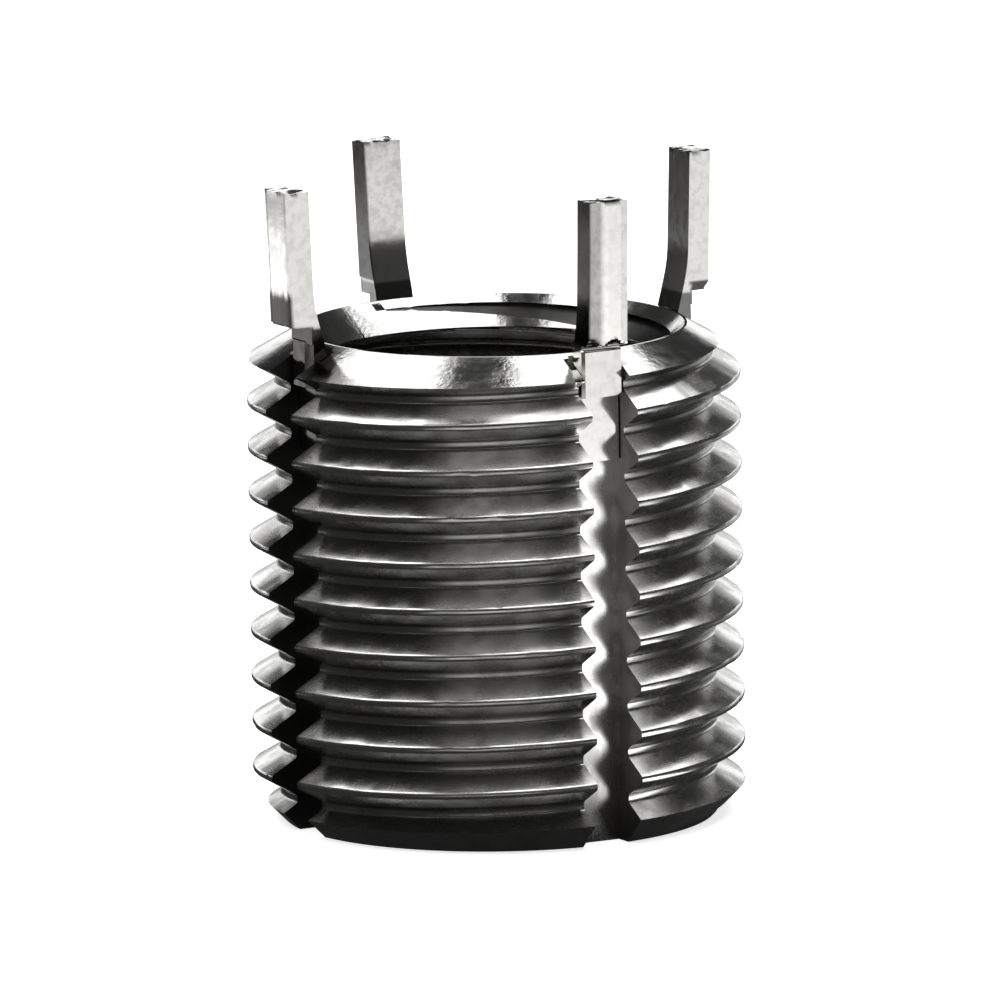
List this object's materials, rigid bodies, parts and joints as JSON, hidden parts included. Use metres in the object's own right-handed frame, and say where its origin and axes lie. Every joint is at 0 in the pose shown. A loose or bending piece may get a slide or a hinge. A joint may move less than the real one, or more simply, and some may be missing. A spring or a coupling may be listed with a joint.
{
  "type": "key-locking threaded insert",
  "caption": "Steel sleeve threaded outside and inside, with locking keys standing in slots around its top, to be driven down so that it can't turn in a tapped hole.",
  "frame": {"origin": "centre of the sleeve's bottom face", "axes": "+Z along the sleeve's axis, towards the ends of the keys; +X through the middle of the first key, with the others every quarter turn from it"},
  "size_m": [0.016, 0.016, 0.0211],
  "materials": {
    "sleeve_steel": "turned, bright and bare",
    "key_steel": "drawn, satin and bare"
  },
  "bodies": {
    "sleeve": {"threaded_sleeve": "sleeve_steel"},
    "key_1": {"locking_key_1": "key_steel"},
    "key_2": {"locking_key_2": "key_steel"},
    "key_3": {"locking_key_3": "key_steel"},
    "key_4": {"locking_key_4": "key_steel"}
  },
  "joints": [
    {"name": "key_1_drive", "type": "slide", "parent": "sleeve", "child": "key_1", "axis": [0, 0, -1], "range_m": [0, 0.0051]},
    {"name": "key_2_drive", "type": "slide", "parent": "sleeve", "child": "key_2", "axis": [0, 0, -1], "range_m": [0, 0.0051]},
    {"name": "key_3_drive", "type": "slide", "parent": "sleeve", "child": "key_3", "axis": [0, 0, -1], "range_m": [0, 0.0051]},
    {"name": "key_4_drive", "type": "slide", "parent": "sleeve", "child": "key_4", "axis": [0, 0, -1], "range_m": [0, 0.0051]}
  ]
}
